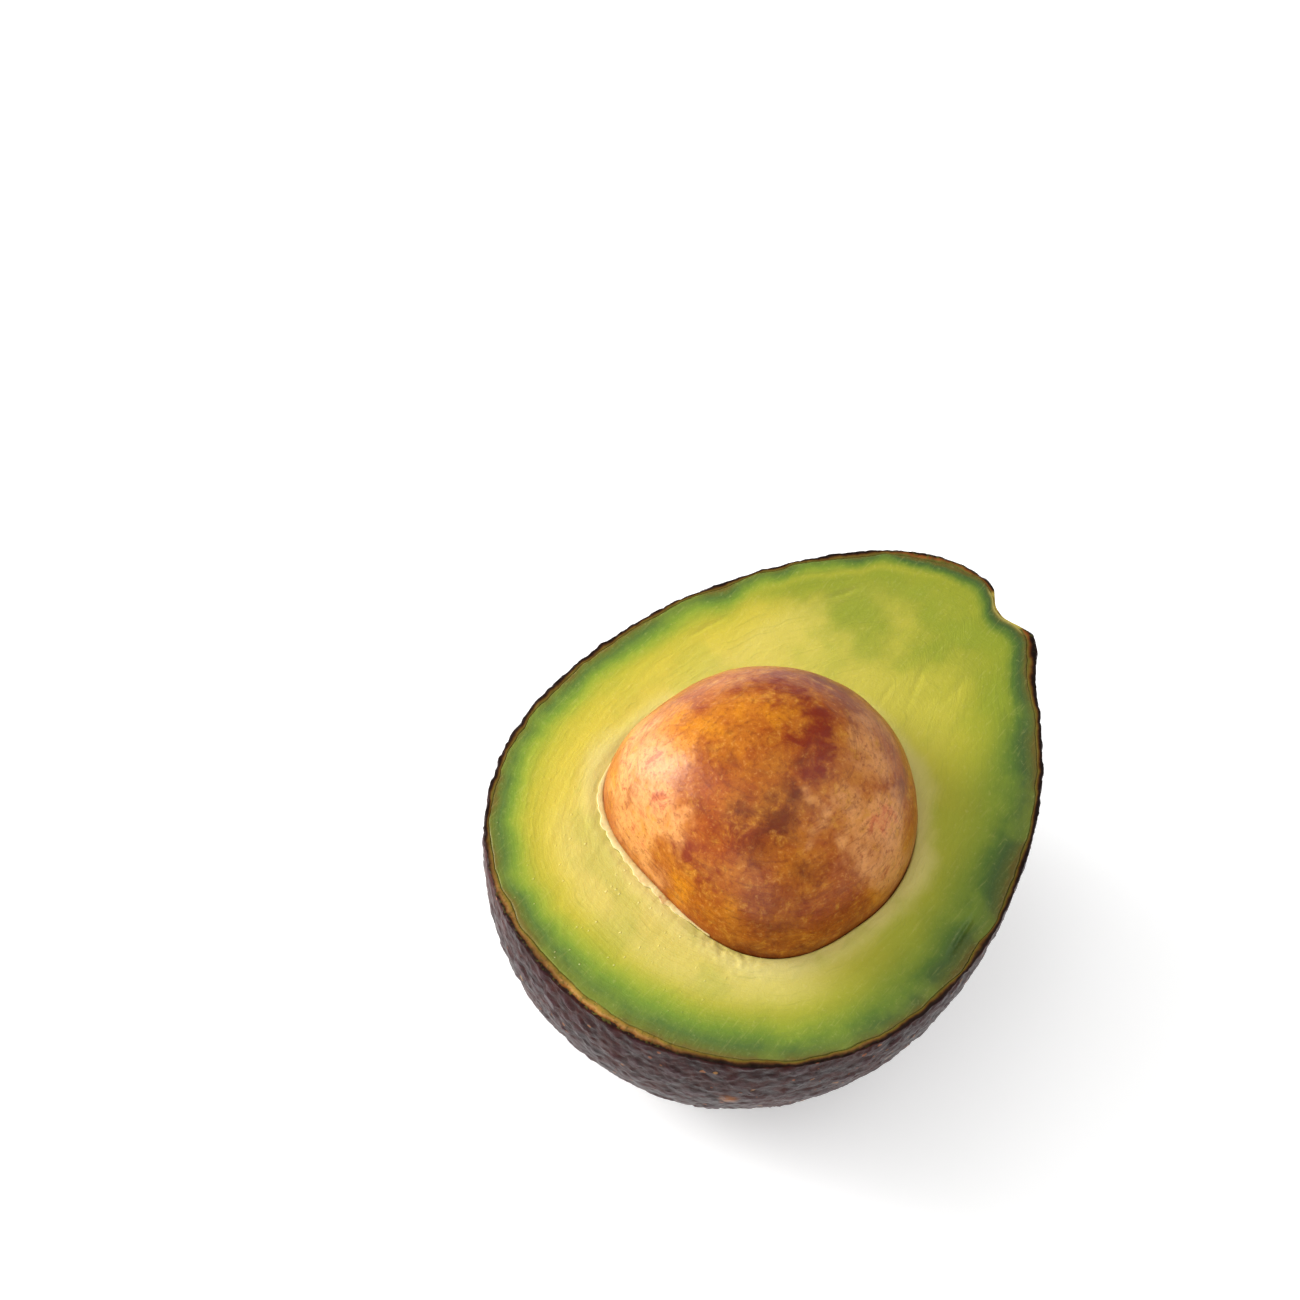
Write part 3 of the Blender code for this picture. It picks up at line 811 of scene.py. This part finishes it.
def pebbled_skin():
    """Ripe avocado skin: a leathery purple-black peel, waxy on its pebbles with painted sheen on their tops,
    with corky breathing spots.
    """
    made, tree, surface, place = start_material("pebbled_skin")
    rim = add(tree, "ShaderNodeAttribute", {}, give="Fac", attribute_name="rim")
    crest_bloom_and_sheen = add(tree, "ShaderNodeAttribute", {}, give="Fac", attribute_name="crest_bloom_and_sheen")
    scar = add(tree, "ShaderNodeAttribute", {}, give="Fac", attribute_name="scar")
    tan = add(tree, "ShaderNodeAttribute", {}, give="Fac", attribute_name="tan")
    rust = add(tree, "ShaderNodeAttribute", {}, give="Fac", attribute_name="rust")
    blemish = add(tree, "ShaderNodeAttribute", {}, give="Fac", attribute_name="blemish")
    drift = add(tree, "ShaderNodeTexNoise", {"Vector": place, "Scale": per_mm(13.0), "Detail": 3.0})
    mottle = add(
        tree, "ShaderNodeTexNoise", {"Vector": place, "Scale": per_mm(2.4), "Detail": 4.0, "Roughness": 0.6}
    )
    fine = add(tree, "ShaderNodeTexNoise", {"Vector": place, "Scale": per_mm(0.5), "Detail": 3.0})
    grooves = add(
        tree, "ShaderNodeTexVoronoi", {"Vector": place, "Scale": per_mm(1.3)}, feature="SMOOTH_F1"
    )
    peel = add(
        tree,
        "ShaderNodeValToRGB",
        {"Fac": mottle},
        [(0.28, "#140606"), (0.45, "#220c0b"), (0.62, "#33130f"), (0.80, "#421d17")],
    )
    peel = lay_over(tree, peel, "#3d140c", drift, 0.45, 0.68, 0.6)
    # Pebble tops paler and lilac: partly waxy bloom, partly painted sheen that lightens the crests against
    # the grooves.
    peel = lay_over(tree, peel, "#3a2026", crest_bloom_and_sheen, 0.35, 1.0, 0.5)

    # Corky breathing spots, up to 0.8 mm across and a couple of millimetres apart, each its own brown
    spread = {"Vector": place, "Scale": per_mm(1.8), "Randomness": 1.0}
    regular = add(tree, "ShaderNodeTexVoronoi", spread)
    away = add(tree, "ShaderNodeMath", {0: mottle, 1: 0.34, 2: regular}, operation="MULTIPLY_ADD")
    chance = add(tree, "ShaderNodeTexVoronoi", spread, give="Color")
    own = add(tree, "ShaderNodeSeparateColor", {"Color": chance})
    reach = add(tree, "ShaderNodeMapRange", {"Value": own, "To Min": 0.18, "To Max": 0.43})
    inside = add(tree, "ShaderNodeMath", {0: reach, 1: away}, operation="SUBTRACT")
    cork = add(
        tree,
        "ShaderNodeValToRGB",
        {"Fac": own},
        [(0.0, "#4e2413"), (0.5, "#6b3217"), (0.8, "#834721"), (1.0, "#91683c")],
    )
    peel = lay_over(tree, peel, "#100605", inside, -0.16, 0.0, 0.7)
    peel = lay_over(tree, peel, cork, inside, -0.02, 0.09, 0.85)
    scuff = add(tree, "ShaderNodeMath", {0: blemish, 1: mottle}, operation="MULTIPLY")
    peel = lay_over(tree, peel, "#8c5a34", scuff, 0.22, 0.50, 0.8)

    # The cut edge of the peel, from its dark outside in to its corky inside
    wavy = add(tree, "ShaderNodeMath", {0: mottle, 1: 0.9, 2: rim}, operation="MULTIPLY_ADD")
    inward = add(tree, "ShaderNodeMath", {0: wavy, 1: 0.45}, operation="SUBTRACT")
    plain_cut = add(
        tree,
        "ShaderNodeValToRGB",
        {"Fac": inward},
        [(0.0, "#120a07"), (0.42, "#1a0f09"), (0.58, "#44280f"), (0.80, "#66501c"), (1.0, "#605a22")],
    )
    corky_cut = add(
        tree,
        "ShaderNodeValToRGB",
        {"Fac": inward},
        [
            (0.0, "#140b07"), (0.25, "#24130a"), (0.38, "#8a5522"), (0.58, "#b0844a"), (0.80, "#9a7a32"),
            (1.0, "#86742e"),
        ],
    )
    rusty_cut = add(
        tree,
        "ShaderNodeValToRGB",
        {"Fac": inward},
        [
            (0.0, "#120a07"), (0.32, "#1c0f08"), (0.45, "#5e3214"), (0.65, "#824a1e"), (0.85, "#6c5424"),
            (1.0, "#606028"),
        ],
    )
    corky_cut = lay_over(tree, corky_cut, rusty_cut, rust, 0.0, 0.5)
    corky_cut = lay_over(tree, corky_cut, "#5c5a24", fine, 0.52, 0.62, 0.6)
    corky = add(tree, "ShaderNodeMath", {0: tan, 1: drift, 2: -0.10}, operation="MULTIPLY_ADD")
    cut = lay_over(tree, plain_cut, corky_cut, corky, 0.0, 0.45)
    peel = lay_over(tree, peel, cut, rim, 0.02, 0.12)
    torn = add(
        tree, "ShaderNodeValToRGB", {"Fac": mottle}, [(0.3, "#6b4a22"), (0.5, "#a08a3c"), (0.7, "#beae50")]
    )
    peel = lay_over(tree, peel, torn, scar, 0.60, 0.95)
    tree.links.new(peel, surface["Base Color"])

    normal = add(tree, "ShaderNodeBump", {"Height": mottle, "Distance": 0.20 * MM})
    normal = add(
        tree, "ShaderNodeBump", {"Height": grooves, "Distance": 0.30 * MM, "Normal": normal}, invert=True
    )
    normal = add(tree, "ShaderNodeBump", {"Height": fine, "Distance": 0.04 * MM, "Normal": normal})
    normal = add(tree, "ShaderNodeBump", {"Height": inside, "Distance": 0.12 * MM, "Normal": normal})
    tree.links.new(normal, surface["Normal"])
    ends = {"Value": mottle, "From Min": 0.3, "From Max": 0.7, "To Min": 0.28, "To Max": 0.42}
    waxy = add(tree, "ShaderNodeMapRange", ends)
    worn = add(tree, "ShaderNodeMath", {0: rim, 1: 0.2, 2: waxy}, operation="MULTIPLY_ADD")
    tree.links.new(worn, surface["Roughness"])
    surface["IOR"].default_value = 1.45
    surface["Specular IOR Level"].default_value = 0.11
    surface["Specular Tint"].default_value = colour("#ffd8d6")
    return made


def mottled_seed():
    """An avocado seed: its papery coat, worn satin and mottled ochre to red-brown, with fine veins."""
    made, tree, surface, place = start_material("mottled_seed")
    red = add(tree, "ShaderNodeAttribute", {}, give="Fac", attribute_name="red")
    dark_and_shade = add(tree, "ShaderNodeAttribute", {}, give="Fac", attribute_name="dark_and_shade")
    gold = add(tree, "ShaderNodeAttribute", {}, give="Fac", attribute_name="gold")
    pale_and_highlight = add(tree, "ShaderNodeAttribute", {}, give="Fac", attribute_name="pale_and_highlight")
    above = add(tree, "ShaderNodeAttribute", {}, give="Fac", attribute_name="above_mm")
    big = add(
        tree,
        "ShaderNodeTexNoise",
        {"Vector": place, "Scale": per_mm(7.0), "Detail": 5.0, "Roughness": 0.6},
    )
    clouds = add(
        tree,
        "ShaderNodeTexNoise",
        {"Vector": place, "Scale": per_mm(2.6), "Detail": 6.0, "Roughness": 0.72, "Distortion": 0.4},
    )
    flecks = add(
        tree,
        "ShaderNodeTexNoise",
        {"Vector": place, "Scale": per_mm(0.7), "Detail": 4.0, "Roughness": 0.7},
    )
    flat = add(tree, "ShaderNodeMapping", {"Vector": place, "Scale": (0.2, 0.2, 1.8)})
    rings = add(
        tree,
        "ShaderNodeTexNoise",
        {"Vector": flat, "Scale": per_mm(0.9), "Detail": 4.0, "Roughness": 0.65},
    )

    body = add(
        tree,
        "ShaderNodeValToRGB",
        {"Fac": big},
        [(0.30, "#883a06"), (0.45, "#9f4e0c"), (0.58, "#b06414"), (0.75, "#ba7422")],
    )
    ends = {"Value": clouds, "From Min": 0.30, "From Max": 0.70, "To Min": 0.35, "To Max": 1.55}
    edges = add(tree, "ShaderNodeMapRange", ends)
    pale_and_highlight_cover = add(tree, "ShaderNodeMath", {0: pale_and_highlight, 1: edges}, operation="MULTIPLY")
    # Pale peach patches: the seed's own colour and a painted highlight.
    body = lay_over(tree, body, "#dc9a58", pale_and_highlight_cover, 0.05, 1.05, 0.95)
    flushed = add(tree, "ShaderNodeMath", {0: pale_and_highlight, 1: clouds}, operation="MULTIPLY")
    body = lay_over(tree, body, "#bd5530", flushed, 0.40, 0.60, 0.70)
    gold_cover = add(tree, "ShaderNodeMath", {0: gold, 1: edges}, operation="MULTIPLY")
    body = lay_over(tree, body, "#cb7f0c", gold_cover, 0.10, 1.1, 0.9)
    body = lay_over(tree, body, "#d09430", clouds, 0.47, 0.30, 0.55)
    body = lay_over(tree, body, "#8c3206", clouds, 0.51, 0.66, 0.45)
    body = lay_over(tree, body, "#dc9c4c", flecks, 0.46, 0.32, 0.35)
    red_cover = add(tree, "ShaderNodeMath", {0: red, 1: edges}, operation="MULTIPLY")
    body = lay_over(tree, body, "#771c04", red_cover, 0.10, 1.15, 0.90)
    dark_and_shade_cover = add(tree, "ShaderNodeMath", {0: dark_and_shade, 1: edges}, operation="MULTIPLY")
    # Dark patches: dark mottling, and painted shade along the seed's bottom edge.
    body = lay_over(tree, body, "#5a1e04", dark_and_shade_cover, 0.12, 1.35, 0.75)
    body = lay_over(tree, body, "#742c08", flecks, 0.50, 0.68, 0.50)
    body = lay_over(tree, body, "#6c280a", rings, 0.52, 0.68, 0.38)
    # Darker within a couple of millimetres above the cut, where the seed meets the flesh: painted shade.
    body = lay_over(tree, body, "#6c2c0e", above, 1.6, -0.2, 0.5)
    tree.links.new(body, surface["Base Color"])

    normal = add(tree, "ShaderNodeBump", {"Height": clouds, "Distance": 0.10 * MM})
    normal = add(tree, "ShaderNodeBump", {"Height": rings, "Distance": 0.04 * MM, "Normal": normal})
    normal = add(tree, "ShaderNodeBump", {"Height": flecks, "Distance": 0.06 * MM, "Normal": normal})
    tree.links.new(normal, surface["Normal"])
    ends = {"Value": clouds, "From Min": 0.3, "From Max": 0.7, "To Min": 0.31, "To Max": 0.42}
    tree.links.new(add(tree, "ShaderNodeMapRange", ends), surface["Roughness"])
    surface["IOR"].default_value = 1.46
    surface["Specular IOR Level"].default_value = 0.31
    surface["Subsurface Weight"].default_value = 0.08
    surface["Subsurface Radius"].default_value = (1.0, 0.5, 0.2)
    surface["Subsurface Scale"].default_value = 1.0 * MM
    return made


def torn_coat():
    """Seed coat: a moist papery membrane torn by the knife, cream with brown flakes of seed skin."""
    made, tree, surface, place = start_material("torn_coat")
    mottle = add(tree, "ShaderNodeTexNoise", {"Vector": place, "Scale": per_mm(2.2), "Detail": 4.0})
    body = add(
        tree,
        "ShaderNodeValToRGB",
        {"Fac": mottle},
        [(0.28, "#b98650"), (0.38, "#dcbe7c"), (0.55, "#e3cc8c"), (0.75, "#e8d89a")],
    )
    tree.links.new(body, surface["Base Color"])
    tree.links.new(add(tree, "ShaderNodeBump", {"Height": mottle, "Distance": 0.10 * MM}), surface["Normal"])
    surface["Roughness"].default_value = 0.5
    surface["Subsurface Weight"].default_value = 0.3
    surface["Subsurface Radius"].default_value = (1.0, 0.8, 0.5)
    surface["Subsurface Scale"].default_value = 1.0 * MM
    return made


def light_table():
    """A white acrylic light table, matt and softly lit from below, so the fruit's shadow stays pale."""
    made, tree, surface, place = start_material("lit_acrylic")
    cloudy = add(tree, "ShaderNodeTexNoise", {"Vector": place, "Scale": per_mm(60.0)})
    acrylic = add(tree, "ShaderNodeValToRGB", {"Fac": cloudy}, [(0.3, "#f4f4f3"), (0.7, "#f8f8f8")])
    tree.links.new(acrylic, surface["Base Color"])
    surface["Roughness"].default_value = 0.9
    surface["Specular IOR Level"].default_value = 0.1
    surface["Emission Color"].default_value = colour("#ffffff")
    surface["Emission Strength"].default_value = 0.28
    return made


# ---------------------------------------------------------------------------------------------------------
# Studio
# ---------------------------------------------------------------------------------------------------------
CAMERA_FIELD = math.radians(18.0)
CAMERA_RISE = math.radians(54.0)
CAMERA_TURN = math.radians(-63.6)
CAMERA_ROLL = math.radians(10.5)
CAMERA_DISTANCE = 540.0 * MM
CAMERA_ASIDE = -18.8 * MM  # the fruit sits right of the frame's middle
CAMERA_ABOVE = 17.4 * MM  # and below it

FLOOR_SIZE = 6.0
ROOM_LIGHT = 0.30  # the even white light from all round


def place_camera():
    back = Vector(
        (
            math.sin(CAMERA_TURN) * math.cos(CAMERA_RISE),
            -math.cos(CAMERA_TURN) * math.cos(CAMERA_RISE),
            math.sin(CAMERA_RISE),
        )
    )
    level = Vector((math.cos(CAMERA_TURN), math.sin(CAMERA_TURN), 0.0))
    upright = back.cross(level)
    right = level * math.cos(CAMERA_ROLL) + upright * math.sin(CAMERA_ROLL)
    top = upright * math.cos(CAMERA_ROLL) - level * math.sin(CAMERA_ROLL)
    lens = bpy.data.cameras.new("camera")
    lens.sensor_fit = "HORIZONTAL"
    lens.angle = CAMERA_FIELD
    camera = bpy.data.objects.new("camera", lens)
    bpy.context.scene.collection.objects.link(camera)
    spot = Vector(FRUIT_CENTRE) + back * CAMERA_DISTANCE + right * CAMERA_ASIDE + top * CAMERA_ABOVE
    turned = Matrix((right, top, back)).transposed().to_4x4()
    camera.matrix_world = Matrix.Translation(spot) @ turned
    bpy.context.scene.camera = camera


def softbox(name, bearing, rise, distance, size, watts):
    """A square soft light at this bearing from the stem end and this far up, aimed at the fruit."""
    lamp = bpy.data.lights.new(name, "AREA")
    lamp.shape = "SQUARE"
    lamp.size = size
    lamp.energy = watts
    light = bpy.data.objects.new(name, lamp)
    bpy.context.scene.collection.objects.link(light)
    turn, lift = math.radians(bearing), math.radians(rise)
    level = math.cos(lift)
    toward = Vector((math.cos(turn) * level, math.sin(turn) * level, math.sin(lift)))
    light.location = Vector(FRUIT_CENTRE) + toward * distance
    light.rotation_euler = toward.to_track_quat("Z", "Y").to_euler()


def build_studio():
    deselect_all()
    bpy.ops.mesh.primitive_plane_add(size=FLOOR_SIZE, location=(0.0, 0.0, 0.0))
    floor = bpy.context.active_object
    floor.name = "floor"
    floor.data.materials.append(light_table())
    softbox("key", 106.0, 18.0, 0.45, 0.28, 3.2)
    softbox("overhead", 150.0, 65.0, 0.50, 0.50, 1.15)
    softbox("side", 200.0, 8.0, 0.60, 0.40, 1.3)
    softbox("fill", -54.0, 48.0, 0.60, 0.50, 1.25)
    world = bpy.data.worlds.new("studio")
    world.use_nodes = True
    background = world.node_tree.nodes["Background"]
    background.inputs["Color"].default_value = (1.0, 1.0, 1.0, 1.0)
    background.inputs["Strength"].default_value = ROOM_LIGHT
    scene = bpy.context.scene
    scene.world = world
    scene.view_settings.view_transform = "Standard"
    scene.view_settings.look = "None"


place_camera()
build_studio()
make_skin(pebbled_skin())
make_flesh(moist_flesh())
make_seed(mottled_seed())
make_coat(torn_coat())
